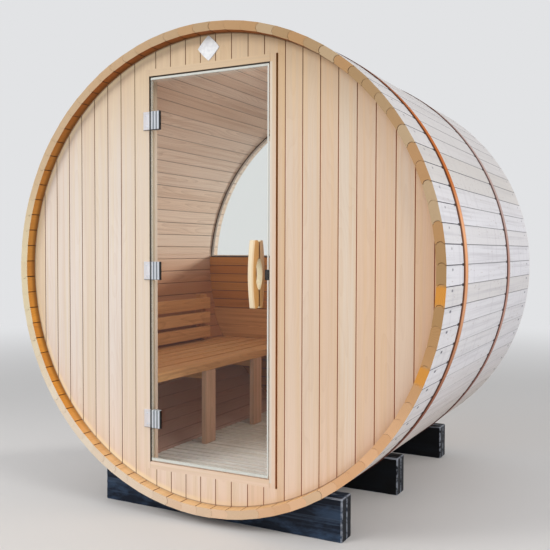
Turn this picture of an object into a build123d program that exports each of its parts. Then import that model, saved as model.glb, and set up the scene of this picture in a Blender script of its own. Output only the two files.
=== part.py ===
# Barrel sauna lying on three cradles: a staved cylinder with a boarded front wall,
# a full height glass door hung on the left, and a half-moon window over the rear wall.
# Millimetres. X right, Y towards the rear, Z up.
# The origin is on the ground under the middle of the barrel.
# Heights inside the barrel are measured from its axis.
from math import cos, radians, sin, sqrt, tan
import os

from build123d import *

os.makedirs("parts", exist_ok=True)

# Driving sizes
OUTER_R = 1050
LENGTH = 1740
STAVE_THICK = 38
STAVE_COUNT = 84
GROUND_GAP = 42
FIT_GAP = 0.3
BOARD_THICK = 28

# Barrel
INNER_R = OUTER_R - STAVE_THICK
AXIS_H = OUTER_R + GROUND_GAP
FRONT_Y = -LENGTH / 2
REAR_Y = LENGTH / 2
HALF_STEP = 180 / STAVE_COUNT
CORNER_R = OUTER_R / cos(radians(HALF_STEP))

# End walls, set back inside the stave ends
SETBACK = 53
WALL_THICK = 38
WALL_FRONT_Y = FRONT_Y + SETBACK
WALL_INSIDE_Y = WALL_FRONT_Y + WALL_THICK
REAR_OUTSIDE_Y = REAR_Y - SETBACK
REAR_INSIDE_Y = REAR_OUTSIDE_Y - WALL_THICK

# Door frame and the opening in it
WALL_OVER_FRAME = 114.5
DOOR_SHIFT = -9.5
OPENING_W = 611
STILE_FACE = 28.5
RAIL_FACE = 32
FRAME_DEPTH = 60
FRAME_H = 2 * (INNER_R - WALL_OVER_FRAME)
OPENING_H = FRAME_H - 2 * RAIL_FACE
OPENING_LEFT = DOOR_SHIFT - OPENING_W / 2
OPENING_RIGHT = DOOR_SHIFT + OPENING_W / 2
FRAME_LEFT = OPENING_LEFT - STILE_FACE
FRAME_RIGHT = OPENING_RIGHT + STILE_FACE
FRAME_BACK_Y = WALL_FRONT_Y + FRAME_DEPTH

# Glass leaf, with a wider gap on its hinge side
HINGE_SIDE_GAP = 8
DOOR_GAP = 5.5
GLASS_THICK = 8
GLASS_LEFT = OPENING_LEFT + HINGE_SIDE_GAP
GLASS_RIGHT = OPENING_RIGHT - DOOR_GAP
GLASS_H = OPENING_H - 2 * DOOR_GAP
GLASS_BACK_Y = WALL_FRONT_Y + GLASS_THICK


def save(piece, name):
    """Label a finished piece and write it to its own file."""
    piece.part.label = name
    export_step(piece.part, "parts/" + name + ".step")


def cross_plane(y):
    """A drawing plane across the barrel at y, seen from the front, centred on the axis."""
    return Plane(origin=(0, y, AXIS_H), x_dir=(1, 0, 0), z_dir=(0, -1, 0))


def half_chord(height):
    """Half the width of the room at this height."""
    return sqrt(INNER_R**2 - height**2)


def room_outline(mode=Mode.ADD):
    """The many-sided outline of the room, one flat for each stave."""
    RegularPolygon(INNER_R, STAVE_COUNT, major_radius=False, rotation=HALF_STEP, mode=mode)


def slab(x0, x1, z0, z1, y0, y1, name, trimmed=False):
    """A plain board between two corners; a trimmed one is cut to the curve of the staves."""
    with BuildPart() as board:
        with BuildSketch(cross_plane(y1)):
            with Locations(((x0 + x1) / 2, (z0 + z1) / 2)):
                Rectangle(x1 - x0, z1 - z0)
            if trimmed:
                room_outline(Mode.INTERSECT)
        extrude(amount=y1 - y0)
    save(board, name)


# Cradles: pairs of planks cut to the round of the barrel, with level shoulders and eased edges
CRADLE_W = 1214
CRADLE_H = 180
CRADLE_THICK = 98
CRADLE_EASE = 4
CRADLE_INSET = 98
MIDDLE_FORWARD = 33
PLANK_THICK = (CRADLE_THICK - FIT_GAP) / 2
cradle_middles = {
    "cradle_front": FRONT_Y + CRADLE_INSET + CRADLE_THICK / 2,
    "cradle_middle": -MIDDLE_FORWARD,
    "cradle_rear": REAR_Y - CRADLE_INSET - CRADLE_THICK / 2,
}
for cradle_name, middle_y in cradle_middles.items():
    with BuildPart() as cradle:
        for plank_back in (middle_y - FIT_GAP / 2, middle_y + CRADLE_THICK / 2):
            with BuildSketch(cross_plane(plank_back)):
                with Locations((0, CRADLE_H / 2 - AXIS_H)):
                    Rectangle(CRADLE_W, CRADLE_H)
                Circle(CORNER_R + FIT_GAP, mode=Mode.SUBTRACT)
            extrude(amount=PLANK_THICK)
        end_faces = cradle.faces().filter_by(Axis.X)
        shoulders = cradle.faces().filter_by(Axis.Z).filter_by(lambda face: face.center().Z > CRADLE_H / 2)
        long_edges = end_faces.edges().filter_by(Axis.Z) + shoulders.edges().filter_by(Axis.X)
        chamfer(long_edges, length=CRADLE_EASE)
    save(cradle, cradle_name)

# Staves, counted clockwise from the bottom as seen from the front
STAVES_PER_PIECE = 7
STAVE_EASE = 2.5
INNER_EASE = 1.2


def stave_section(middle):
    """Section of the stave whose middle lies at this angle: a wedge with all four edges eased."""
    outer_half = OUTER_R * tan(radians(HALF_STEP)) - FIT_GAP / 2
    inner_half = INNER_R * tan(radians(HALF_STEP)) - FIT_GAP / 2
    corners = [
        (INNER_R, -inner_half + INNER_EASE),
        (INNER_R + INNER_EASE, -inner_half),
        (OUTER_R - STAVE_EASE, -outer_half),
        (OUTER_R, -outer_half + STAVE_EASE),
        (OUTER_R, outer_half - STAVE_EASE),
        (OUTER_R - STAVE_EASE, outer_half),
        (INNER_R + INNER_EASE, inner_half),
        (INNER_R, inner_half - INNER_EASE),
    ]
    turn = radians(middle)
    return [(r * cos(turn) - s * sin(turn), r * sin(turn) + s * cos(turn)) for r, s in corners]


for piece in range(STAVE_COUNT // STAVES_PER_PIECE):
    with BuildPart() as staves:
        with BuildSketch(cross_plane(REAR_Y)):
            for place in range(STAVES_PER_PIECE):
                stave = piece * STAVES_PER_PIECE + place
                Polygon(*stave_section(270 - stave * 2 * HALF_STEP), align=None)
        extrude(amount=LENGTH)
    save(staves, f"staves_{piece + 1:02d}")

# Steel straps round the staves
BAND_W = 60
BAND_THICK = 3
FRONT_BAND_INSET = 282
MIDDLE_BAND_INSET = 1134
for band_name, inset in (("band_front", FRONT_BAND_INSET), ("band_middle", MIDDLE_BAND_INSET)):
    with BuildPart() as band:
        with BuildSketch(cross_plane(FRONT_Y + inset + BAND_W / 2)):
            Circle(CORNER_R + FIT_GAP + BAND_THICK)
            Circle(CORNER_R + FIT_GAP, mode=Mode.SUBTRACT)
        extrude(amount=BAND_W)
    save(band, band_name)

# Front wall, in four parts round the door frame
HALF_FRAME = FRAME_H / 2
WALL_YS = (WALL_FRONT_Y, WALL_INSIDE_Y)
slab(-OUTER_R, FRAME_LEFT, -OUTER_R, OUTER_R, *WALL_YS, "front_wall_left", True)
slab(FRAME_LEFT, FRAME_RIGHT, HALF_FRAME, OUTER_R, *WALL_YS, "front_wall_above_door", True)
slab(FRAME_LEFT, FRAME_RIGHT, -OUTER_R, -HALF_FRAME, *WALL_YS, "front_wall_below_door", True)

# The right part has an open groove beside the frame
GROOVE_W = 8
GROOVE_DEPTH = 14
with BuildPart() as front_wall_right:
    with BuildSketch(cross_plane(WALL_INSIDE_Y)):
        with Locations(((FRAME_RIGHT + OUTER_R) / 2, 0)):
            Rectangle(OUTER_R - FRAME_RIGHT, 2 * OUTER_R)
        room_outline(Mode.INTERSECT)
    extrude(amount=WALL_THICK)
    with BuildSketch(cross_plane(WALL_FRONT_Y)):
        with Locations((FRAME_RIGHT + GROOVE_W / 2, 0)):
            Rectangle(GROOVE_W, FRAME_H)
    extrude(amount=-GROOVE_DEPTH, mode=Mode.SUBTRACT)
save(front_wall_right, "front_wall_right")

# Door frame
HALF_OPENING = OPENING_H / 2
FRAME_YS = (WALL_FRONT_Y, FRAME_BACK_Y)
slab(FRAME_LEFT, OPENING_LEFT, -HALF_FRAME, HALF_FRAME, *FRAME_YS, "door_frame_left")
slab(OPENING_RIGHT, FRAME_RIGHT, -HALF_FRAME, HALF_FRAME, *FRAME_YS, "door_frame_right")
slab(OPENING_LEFT, OPENING_RIGHT, HALF_OPENING, HALF_FRAME, *FRAME_YS, "door_frame_head")
slab(OPENING_LEFT, OPENING_RIGHT, -HALF_FRAME, -HALF_OPENING, *FRAME_YS, "door_frame_sill")

# Rear wall with the half-moon window above it
REAR_WALL_TOP = 47
REAR_GLASS_Y = REAR_INSIDE_Y + (WALL_THICK - GLASS_THICK) / 2
slab(-OUTER_R, OUTER_R, -OUTER_R, REAR_WALL_TOP, REAR_INSIDE_Y, REAR_OUTSIDE_Y, "rear_wall", True)
slab(-OUTER_R, OUTER_R, REAR_WALL_TOP, OUTER_R, REAR_GLASS_Y, REAR_GLASS_Y + GLASS_THICK, "rear_window", True)

# Slatted floor
FLOOR_H = 120
FLOOR_TOP = FLOOR_H - INNER_R
SLAT_W = 44
SLAT_GAP = 11
SLAT_THICK = 20
SLAT_END_GAP = 8
FLOOR_UNDERSIDE = FLOOR_TOP - SLAT_THICK
SLAT_LENGTH = 2 * (half_chord(FLOOR_UNDERSIDE) - SLAT_END_GAP)
SLAT_COUNT = int((REAR_INSIDE_Y - FRAME_BACK_Y + SLAT_GAP) // (SLAT_W + SLAT_GAP))
with BuildPart() as floor_slats:
    with BuildSketch(Plane.XY.offset(AXIS_H + FLOOR_UNDERSIDE)):
        with Locations((0, (REAR_INSIDE_Y + FRAME_BACK_Y) / 2)):
            with GridLocations(1, SLAT_W + SLAT_GAP, 1, SLAT_COUNT):
                Rectangle(SLAT_LENGTH, SLAT_W)
    extrude(amount=SLAT_THICK)
save(floor_slats, "floor_slats")

# Two floor bearers, cut underneath to the curve of the staves
BEARER_W = 60
BEARER_SIDE = SLAT_LENGTH / 2 - 2 * BEARER_W
with BuildPart() as floor_bearers:
    with BuildSketch(cross_plane(REAR_INSIDE_Y)):
        with Locations((-BEARER_SIDE, FLOOR_UNDERSIDE), (BEARER_SIDE, FLOOR_UNDERSIDE)):
            Rectangle(BEARER_W, FLOOR_H, align=(Align.CENTER, Align.MAX))
        room_outline(Mode.INTERSECT)
    extrude(amount=REAR_INSIDE_Y - WALL_INSIDE_Y)
save(floor_bearers, "floor_bearers")

# Bench along the left wall; its front rail ends against the door frame
SEAT_H = 414
SEAT_SLAT_COUNT = 6
SEAT_GAP = 10
SEAT_WALL_GAP = 2
SEAT_TOP = FLOOR_TOP + SEAT_H
SEAT_UNDERSIDE = SEAT_TOP - BOARD_THICK
SEAT_LEFT = SEAT_WALL_GAP - half_chord(SEAT_UNDERSIDE)
SEAT_RIGHT = FRAME_LEFT
BENCH_FRONT_X = SEAT_RIGHT + BOARD_THICK
SEAT_SPACING = (SEAT_RIGHT - SEAT_LEFT + SEAT_GAP) / SEAT_SLAT_COUNT
with BuildPart() as bench_seat:
    with BuildSketch(cross_plane(REAR_INSIDE_Y)):
        with Locations(((SEAT_LEFT + SEAT_RIGHT) / 2, SEAT_TOP - BOARD_THICK / 2)):
            with GridLocations(SEAT_SPACING, 1, SEAT_SLAT_COUNT, 1):
                Rectangle(SEAT_SPACING - SEAT_GAP, BOARD_THICK)
    extrude(amount=REAR_INSIDE_Y - WALL_INSIDE_Y)
save(bench_seat, "bench_seat")

RAIL_H = 40
RAIL_UNDERSIDE = SEAT_TOP - RAIL_H
slab(SEAT_RIGHT, BENCH_FRONT_X, RAIL_UNDERSIDE, SEAT_TOP, FRAME_BACK_Y, REAR_INSIDE_Y, "bench_front_rail")

LEG_W = 92
LEG_SPACING = 493
LEGS_FORWARD = 57
leg_middles = [-LEGS_FORWARD - LEG_SPACING / 2, -LEGS_FORWARD + LEG_SPACING / 2]
with BuildPart() as bench_legs:
    with BuildSketch(Plane.XY.offset(AXIS_H + FLOOR_TOP)):
        with Locations((SEAT_RIGHT + BOARD_THICK / 2, -LEGS_FORWARD)):
            with GridLocations(1, LEG_SPACING, 1, 2):
                Rectangle(BOARD_THICK, LEG_W)
    extrude(amount=RAIL_UNDERSIDE - FLOOR_TOP)
save(bench_legs, "bench_legs")

BENCH_BEARER_H = 60
with BuildPart() as bench_bearers:
    for middle_y in leg_middles:
        with BuildSketch(cross_plane(middle_y + BOARD_THICK / 2)):
            with Locations((SEAT_RIGHT, SEAT_UNDERSIDE)):
                Rectangle(OUTER_R, BENCH_BEARER_H, align=(Align.MAX, Align.MAX))
            room_outline(Mode.INTERSECT)
        extrude(amount=BOARD_THICK)
save(bench_bearers, "bench_bearers")

# Backrest on the left wall: rails on posts that are cut to the curve of the staves
BACK_RAIL_H = 70
BACK_RAIL_GAP = 20
BACK_RAIL_COUNT = 3
BACK_OVER_SEAT = 20
BACK_END_GAP = 253
POST_W = 38
POST_DEPTH = 60
BACK_RAIL_SPACING = BACK_RAIL_H + BACK_RAIL_GAP
BACK_H = BACK_OVER_SEAT + BACK_RAIL_COUNT * BACK_RAIL_SPACING
BACK_MIDDLE = SEAT_TOP + BACK_OVER_SEAT + (BACK_RAIL_COUNT * BACK_RAIL_SPACING - BACK_RAIL_GAP) / 2
BACK_POST_X = SEAT_LEFT
BACK_END_Y = REAR_INSIDE_Y - BACK_END_GAP
with BuildPart() as backrest_rails:
    with BuildSketch(cross_plane(BACK_END_Y)):
        with Locations((BACK_POST_X + BOARD_THICK / 2, BACK_MIDDLE)):
            with GridLocations(1, BACK_RAIL_SPACING, 1, BACK_RAIL_COUNT):
                Rectangle(BOARD_THICK, BACK_RAIL_H)
    extrude(amount=BACK_END_Y - WALL_INSIDE_Y)
save(backrest_rails, "backrest_rails")

POST_FRONT_Y = WALL_INSIDE_Y + POST_W
with BuildPart() as backrest_posts:
    for back_y in (POST_FRONT_Y, (POST_FRONT_Y + BACK_END_Y) / 2, BACK_END_Y):
        with BuildSketch(cross_plane(back_y)):
            with Locations((BACK_POST_X, SEAT_TOP)):
                Rectangle(POST_DEPTH, BACK_H, align=(Align.MAX, Align.MIN))
            room_outline(Mode.INTERSECT)
        extrude(amount=POST_W)
save(backrest_posts, "backrest_posts")

REAR_BACKREST_H = 184
REAR_BACKREST_TOP = SEAT_TOP + REAR_BACKREST_H
REAR_BACKREST_YS = (REAR_INSIDE_Y - BOARD_THICK, REAR_INSIDE_Y)
slab(-OUTER_R, SEAT_RIGHT, SEAT_TOP, REAR_BACKREST_TOP, *REAR_BACKREST_YS, "rear_backrest", True)

# Plain diamond plate over the door
BADGE_SIDE = 75
BADGE_THICK = 4
with BuildPart() as badge_plate:
    with BuildSketch(cross_plane(WALL_FRONT_Y)):
        with Locations((0, (HALF_FRAME + INNER_R) / 2)):
            Rectangle(BADGE_SIDE, BADGE_SIDE, rotation=45)
    extrude(amount=BADGE_THICK)
save(badge_plate, "badge_plate")

# Catch on the closing jamb, behind the glass
CATCH_W = 30
CATCH_H = 44
CATCH_DEPTH = 20
CATCH_DROP = 9.5
CATCH_TOP = CATCH_H / 2 - CATCH_DROP
CATCH_YS = (GLASS_BACK_Y + DOOR_GAP, GLASS_BACK_Y + DOOR_GAP + CATCH_DEPTH)
slab(OPENING_RIGHT - CATCH_W, OPENING_RIGHT, CATCH_TOP - CATCH_H, CATCH_TOP, *CATCH_YS, "door_catch")

# Glass leaf
slab(GLASS_LEFT, GLASS_RIGHT, -GLASS_H / 2, GLASS_H / 2, WALL_FRONT_Y, GLASS_BACK_Y, "door_glass")

# Hinges, turning about a vertical line between the leaf on the frame and the clamp on the glass
HINGE_H = 81
HINGE_INSET = 197
HINGE_REACH = 6
KNUCKLE_R = 4.5
KNUCKLE_GAP = 0.5
PIN_R = 2.5
BORE_R = 3
LEAF_W = 33
LEAF_THICK = 5
LEAF_LAP = 4
CLAMP_W = 49
CLAMP_THICK = 9
CLAMP_INSET = 8
CLAMP_BACK_W = 38
CLAMP_BACK_THICK = 6
RIB_COUNT = 3
RIB_H = 3
RIB_SLOPE = 50
LEAF_RIGHT = OPENING_LEFT + LEAF_LAP
CLAMP_LEFT = GLASS_LEFT + CLAMP_INSET
HINGE_X = (LEAF_RIGHT + CLAMP_LEFT) / 2
HINGE_Y = WALL_FRONT_Y - HINGE_REACH
KNUCKLE_ARM = HINGE_X - LEAF_RIGHT
KNUCKLE_H = HINGE_H / 3
RIB_W = CLAMP_W / RIB_COUNT
HINGE_RISE = HALF_OPENING - HINGE_INSET
hinge_bases = [AXIS_H + rise - HINGE_H / 2 for rise in (-HINGE_RISE, 0, HINGE_RISE)]

# Leaf on the frame, with the upper and lower knuckles and the pin
with BuildPart() as hinge_frame_leaves:
    for base in hinge_bases:
        with BuildSketch(Plane.XY.offset(base)):
            with Locations((LEAF_RIGHT, WALL_FRONT_Y)):
                Rectangle(LEAF_W, LEAF_THICK, align=(Align.MAX, Align.MAX))
        extrude(amount=HINGE_H)
        for start in (0, HINGE_H - KNUCKLE_H + KNUCKLE_GAP):
            with BuildSketch(Plane.XY.offset(base + start)):
                with Locations((HINGE_X, HINGE_Y)):
                    Circle(KNUCKLE_R)
                    Rectangle(KNUCKLE_ARM, KNUCKLE_R, align=(Align.MAX, Align.MIN))
            extrude(amount=KNUCKLE_H - KNUCKLE_GAP)
        with BuildSketch(Plane.XY.offset(base)):
            with Locations((HINGE_X, HINGE_Y)):
                Circle(PIN_R)
        extrude(amount=HINGE_H)
save(hinge_frame_leaves, "hinge_frame_leaves")

# Clamp on the glass: a ribbed plate with the middle knuckle in front, a flat plate behind
with BuildPart() as hinge_clamps:
    for base in hinge_bases:
        with BuildSketch(Plane.XY.offset(base)):
            with Locations((CLAMP_LEFT, WALL_FRONT_Y)):
                Rectangle(CLAMP_W, CLAMP_THICK, align=(Align.MIN, Align.MAX))
            with Locations((CLAMP_LEFT + CLAMP_W / 2, WALL_FRONT_Y - CLAMP_THICK - RIB_H / 2)):
                with GridLocations(RIB_W, 1, RIB_COUNT, 1):
                    Trapezoid(RIB_W - 2 * KNUCKLE_GAP, RIB_H, RIB_SLOPE, rotation=180)
        extrude(amount=HINGE_H)
        with BuildSketch(Plane.XY.offset(base + KNUCKLE_H + KNUCKLE_GAP / 2)):
            with Locations((HINGE_X, HINGE_Y)):
                Circle(KNUCKLE_R)
                Rectangle(KNUCKLE_ARM, KNUCKLE_R, align=(Align.MIN, Align.CENTER))
                Circle(BORE_R, mode=Mode.SUBTRACT)
        extrude(amount=KNUCKLE_H - KNUCKLE_GAP)
        with BuildSketch(Plane.XY.offset(base)):
            with Locations((CLAMP_LEFT, GLASS_BACK_Y)):
                Rectangle(CLAMP_BACK_W, CLAMP_BACK_THICK, align=(Align.MIN, Align.MIN))
        extrude(amount=HINGE_H)
save(hinge_clamps, "hinge_clamps")

# Bow handles, one on each face of the glass
HANDLE_INSET = 64.5
HANDLE_DROP = 7
HANDLE_H = 283
HANDLE_W = 28
HANDLE_REACH = 48
HANDLE_BOW = 16
HANDLE_ROUND = 7
HANDLE_END_CUT = 11
GRIP_H = 140
GRIP_DEPTH = 26


def bow_handle(face_y, outward, name):
    """A bow seen from its side: flat to the glass with cut corners, arched outside, and a lens cut for the hand."""
    middle = AXIS_H - HANDLE_DROP
    reach = face_y + outward * HANDLE_REACH
    shoulder = reach - outward * HANDLE_BOW
    grip = face_y + outward * GRIP_DEPTH
    cut_y = face_y + outward * HANDLE_END_CUT
    seat = HANDLE_H / 2 - HANDLE_END_CUT
    with BuildPart() as handle:
        with BuildSketch(Plane.YZ.offset(OPENING_RIGHT - HANDLE_INSET - HANDLE_W / 2)):
            with BuildLine():
                Polyline(
                    (shoulder, middle - HANDLE_H / 2),
                    (cut_y, middle - HANDLE_H / 2),
                    (face_y, middle - seat),
                    (face_y, middle + seat),
                    (cut_y, middle + HANDLE_H / 2),
                    (shoulder, middle + HANDLE_H / 2),
                )
                ThreePointArc(
                    (shoulder, middle + HANDLE_H / 2),
                    (reach, middle),
                    (shoulder, middle - HANDLE_H / 2),
                )
            make_face()
            with BuildLine():
                Line((face_y, middle - GRIP_H / 2), (face_y, middle + GRIP_H / 2))
                ThreePointArc((face_y, middle + GRIP_H / 2), (grip, middle), (face_y, middle - GRIP_H / 2))
            make_face(mode=Mode.SUBTRACT)
        extrude(amount=HANDLE_W)
        outside = handle.faces().sort_by(Axis.Y)[0 if outward < 0 else -1]
        fillet(outside.edges(), radius=HANDLE_ROUND)
    save(handle, name)


bow_handle(WALL_FRONT_Y, -1, "door_handle_outer")
bow_handle(GLASS_BACK_Y, 1, "door_handle_inner")
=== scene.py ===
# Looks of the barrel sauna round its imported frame. Metres: X right, Y to the rear, Z up.
from math import cos, pi, radians, sin, tan

import bmesh
import bpy
import numpy as np
from mathutils import Matrix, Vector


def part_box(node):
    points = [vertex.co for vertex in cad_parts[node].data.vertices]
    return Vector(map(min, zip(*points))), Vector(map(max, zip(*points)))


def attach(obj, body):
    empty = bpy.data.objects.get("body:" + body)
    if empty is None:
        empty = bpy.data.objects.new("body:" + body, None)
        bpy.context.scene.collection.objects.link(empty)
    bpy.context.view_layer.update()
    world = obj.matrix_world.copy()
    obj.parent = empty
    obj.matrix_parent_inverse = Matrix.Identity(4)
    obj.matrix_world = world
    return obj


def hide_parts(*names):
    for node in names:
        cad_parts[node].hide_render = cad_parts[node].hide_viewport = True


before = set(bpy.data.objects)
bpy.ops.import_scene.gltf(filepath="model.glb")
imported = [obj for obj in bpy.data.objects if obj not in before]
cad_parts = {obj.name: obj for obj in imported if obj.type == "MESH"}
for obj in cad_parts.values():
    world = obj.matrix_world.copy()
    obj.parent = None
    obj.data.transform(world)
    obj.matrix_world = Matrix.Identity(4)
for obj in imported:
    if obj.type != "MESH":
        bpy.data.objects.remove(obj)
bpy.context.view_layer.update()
chance = np.random.default_rng(84)


def low(node):
    """Lowest corner of a node of the frame."""
    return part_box(node)[0]


def high(node):
    """Highest corner of a node of the frame."""
    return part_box(node)[1]


STRAPS = ("band_front", "band_middle")

# Staves: how many, the length of the chamfer at their ends, how deep sawn ends and their chamfers
# reach, and the two with resinous ends, counted anticlockwise from the right
STAVE_COUNT = 84
STAVES_PER_NODE = 7
END_CUT = 0.0012
END_ZONE = 0.0027
RESIN_STAVES = (-1, -5)

# Stave screws: how far from the end of a stave, and from its middle as a part of its width, and the
# distances from a screw between which its dark stain fades
SCREW_INSET = 0.089
SCREW_OFF = 0.28
SCREW_STAIN = (0.008, 0.003)

# Straps, and the groove in the front wall beside the door frame
STRAP_THICK = 0.003
GROOVE_W = 0.008
GROOVE_DEPTH = 0.014

# Hinges: width of the clamp on the glass, its ribs, how far the frame's leaf laps over the opening,
# the height of a hinge, and how far the upper and the lower one lie from the middle one
CLAMP_W = 0.049
RIB_COUNT = 3
LEAF_LAP = 0.004
HINGE_H = 0.081
HINGE_RISE = 0.6685

# Sizes that come from the frame
FRONT_Y, REAR_Y = low("staves_01").y, high("staves_01").y
AXIS_Z = (low("band_front").z + high("band_front").z) / 2
OUTER_R = AXIS_Z - low("staves_01").z
INNER_R = -low("front_wall_left").x
STAVE_STEP = 2 * pi / STAVE_COUNT
SCREW_ROWS = (FRONT_Y + SCREW_INSET, REAR_Y - SCREW_INSET)
WALL_FRONT, WALL_BACK = low("front_wall_left").y, high("front_wall_left").y
REAR_INSIDE, REAR_OUTSIDE = low("rear_wall").y, high("rear_wall").y
WINDOW_SILL = high("rear_wall").z
FRAME_LEFT, FRAME_RIGHT = low("door_frame_left").x, high("door_frame_right").x
FRAME_LOW, FRAME_TOP = low("door_frame_sill").z, high("door_frame_head").z
OPENING_LEFT, OPENING_RIGHT = high("door_frame_left").x, low("door_frame_right").x
OPENING_TOP = low("door_frame_head").z
GROOVE_RIGHT = FRAME_RIGHT + GROOVE_W
CLAMP_RIGHT = high("hinge_clamps").x
CLAMP_LEFT = CLAMP_RIGHT - CLAMP_W
RIB_STEP = CLAMP_W / RIB_COUNT
LEAF_RIGHT = OPENING_LEFT + LEAF_LAP
HINGE_MIDDLES = [AXIS_Z + rise for rise in (-HINGE_RISE, 0.0, HINGE_RISE)]

# Joints of the front wall's boards, where the photograph shows them
LEFT_JOINTS = [-INNER_R, -0.942, -0.864, -0.786, -0.708, -0.630, -0.551, -0.474, -0.395, FRAME_LEFT]
MIDDLE_JOINTS = [FRAME_LEFT, -0.2785, -0.199, -0.120, -0.043, 0.034, 0.113, 0.193, 0.271, FRAME_RIGHT]
RIGHT_JOINTS = [0.3675, 0.446, 0.524, 0.602, 0.680, 0.758, 0.839, 0.915, 0.991, INNER_R]


# Finishes

def shade(colour):
    """A colour for a socket: a link stays, and three screen levels from 0 to 255 become linear."""
    if isinstance(colour, Value):
        return colour
    levels = np.array(colour) / 255
    linear = np.where(levels <= 0.04045, levels / 12.92, ((levels + 0.055) / 1.055) ** 2.4)
    return (*linear.tolist(), 1.0)


def operator(operation, swapped=False):
    """A method that adds a Math node, with its own value second where swapped."""
    def method(value, other=0):
        first, second = (other, value) if swapped else (value, other)
        return value.finish.math(operation, first, second)
    return method


class Value:
    """An output of a shader node. Sums written with it add the Math nodes that they stand for."""

    def __init__(self, finish, socket):
        self.finish = finish
        self.socket = socket

    __add__, __radd__ = operator("ADD"), operator("ADD", swapped=True)
    __sub__, __rsub__ = operator("SUBTRACT"), operator("SUBTRACT", swapped=True)
    __mul__, __rmul__ = operator("MULTIPLY"), operator("MULTIPLY", swapped=True)
    __truediv__, __pow__, __mod__ = operator("DIVIDE"), operator("POWER"), operator("FLOORED_MODULO")
    __gt__, __lt__, __abs__ = operator("GREATER_THAN"), operator("LESS_THAN"), operator("ABSOLUTE")

    def within(self, start, stop):
        """1 between two limits and 0 outside them."""
        return (self > start) * (self < stop)

    def fade(self, start, stop):
        """0 at start, 1 at stop and smooth between them, and level beyond; either may be the larger."""
        sockets = {"Value": self, "From Min": start, "From Max": stop}
        return self.finish.node("MapRange", {"interpolation_type": "SMOOTHSTEP"}, sockets)


class Finish:
    """The nodes of a material or the world in the making, and short ways to those used often."""

    def __init__(self, owner):
        owner.use_nodes = True
        self.owner = owner
        self.tree = owner.node_tree
        self.tree.nodes.clear()

    def node(self, kind, settings=None, sockets=None, output=0):
        """Add a node of this type, set it, fill its sockets with values or links, and give one output."""
        node = self.tree.nodes.new("ShaderNode" + kind)
        for name, value in (settings or {}).items():
            setattr(node, name, value)
        for name, value in (sockets or {}).items():
            if isinstance(value, Value):
                self.tree.links.new(value.socket, node.inputs[name])
            else:
                node.inputs[name].default_value = value
        return Value(self, node.outputs[output]) if len(node.outputs) else node

    def math(self, operation, first, second):
        """A Math node."""
        return self.node("Math", {"operation": operation}, {0: first, 1: second})

    def split(self, vector):
        """The three parts of a vector."""
        parts = self.node("SeparateXYZ", sockets={0: vector})
        return [Value(self, part) for part in parts.socket.node.outputs]

    def join(self, x, y, z):
        """A vector from its three parts."""
        return self.node("CombineXYZ", sockets={0: x, 1: y, 2: z})

    def turned(self, x, z):
        """The angle of a place round the barrel's axis, anticlockwise from the right as seen in front."""
        return self.math("ARCTAN2", z - AXIS_Z, x)

    def attribute(self, name, output="Fac"):
        """An attribute of the mesh."""
        return self.node("Attribute", {"attribute_name": name}, output=output)

    def noise(self, vector, scale=1.0, detail=2.0, roughness=0.5):
        """Smooth noise from 0 to 1."""
        sockets = {"Vector": vector, "Scale": scale, "Detail": detail, "Roughness": roughness}
        return self.node("TexNoise", sockets=sockets)

    def grain_noise(self, factors, detail=2.0, roughness=0.5):
        """Noise that lies along the grain: each part of the grain coordinates has a factor of its own."""
        sockets = {0: self.attribute("grain", "Vector"), 1: factors}
        stretched = self.node("VectorMath", {"operation": "MULTIPLY"}, sockets)
        return self.noise(stretched, detail=detail, roughness=roughness)

    def mix(self, factor, first, second):
        """A colour between two others."""
        sockets = {0: factor, 6: shade(first), 7: shade(second)}
        return self.node("Mix", {"data_type": "RGBA"}, sockets, output=2)

    def coats(self, colour, layers):
        """A colour with others laid over it in turn, each as strongly as the factor before it says."""
        for strength, layer in layers:
            colour = self.mix(strength, colour, layer)
        return colour

    def seen_straight(self):
        """1 for what is seen directly, in a mirror or through glass, and 0 for light on its way."""
        rays = self.node("LightPath").socket.node.outputs
        kinds = ("Is Camera Ray", "Is Glossy Ray", "Is Transmission Ray")
        camera, mirror, glass = (Value(self, rays[kind]) for kind in kinds)
        return self.math("MINIMUM", camera + mirror + glass, 1)

    def cover(self, colour, roughness, height=None, depth=0.0005, **others):
        """A Principled shader with this colour and, where height is given, that relief."""
        sockets = {"Base Color": shade(colour), "Roughness": roughness}
        sockets.update({name.replace("_", " "): value for name, value in others.items()})
        if height is not None:
            relief = {"Height": height, "Distance": depth, "Strength": 1.0}
            sockets["Normal"] = self.node("Bump", sockets=relief)
        return self.node("BsdfPrincipled", sockets=sockets)

    def end_in(self, shader, output="OutputMaterial"):
        """Lead a shader to the surface of the material or the world."""
        self.node(output, sockets={"Surface": shader})
        return self.owner

    def surface(self, colour, roughness, height, depth, **others):
        """A whole material from one Principled shader."""
        return self.end_in(self.cover(colour, roughness, height, depth, **others))


def new_finish(name):
    """A material in the making, and the three Object coordinates, in metres, of a place on it."""
    finish = Finish(bpy.data.materials.new(name))
    return finish, *finish.split(finish.node("TexCoord", output="Object"))


def from_axis(x, z):
    """The distance of a place from the barrel's axis."""
    up = z - AXIS_Z
    return (x * x + up * up) ** 0.5


# Sides of a board, as the "side" attribute gives them to its finish
INSIDE, OUTSIDE, CUT_END, JOINT = 0.0, 1.0, 2.0, 3.0

# How far the mask of a flat face reaches past it, so as to take all of it, and a little further
HAIR = 0.0006
NEAR = 0.001

# How deep the painted shadow in the gap beside the glass and over it goes into the wall
GAP_BESIDE, GAP_OVER = 0.014, 0.026


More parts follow.
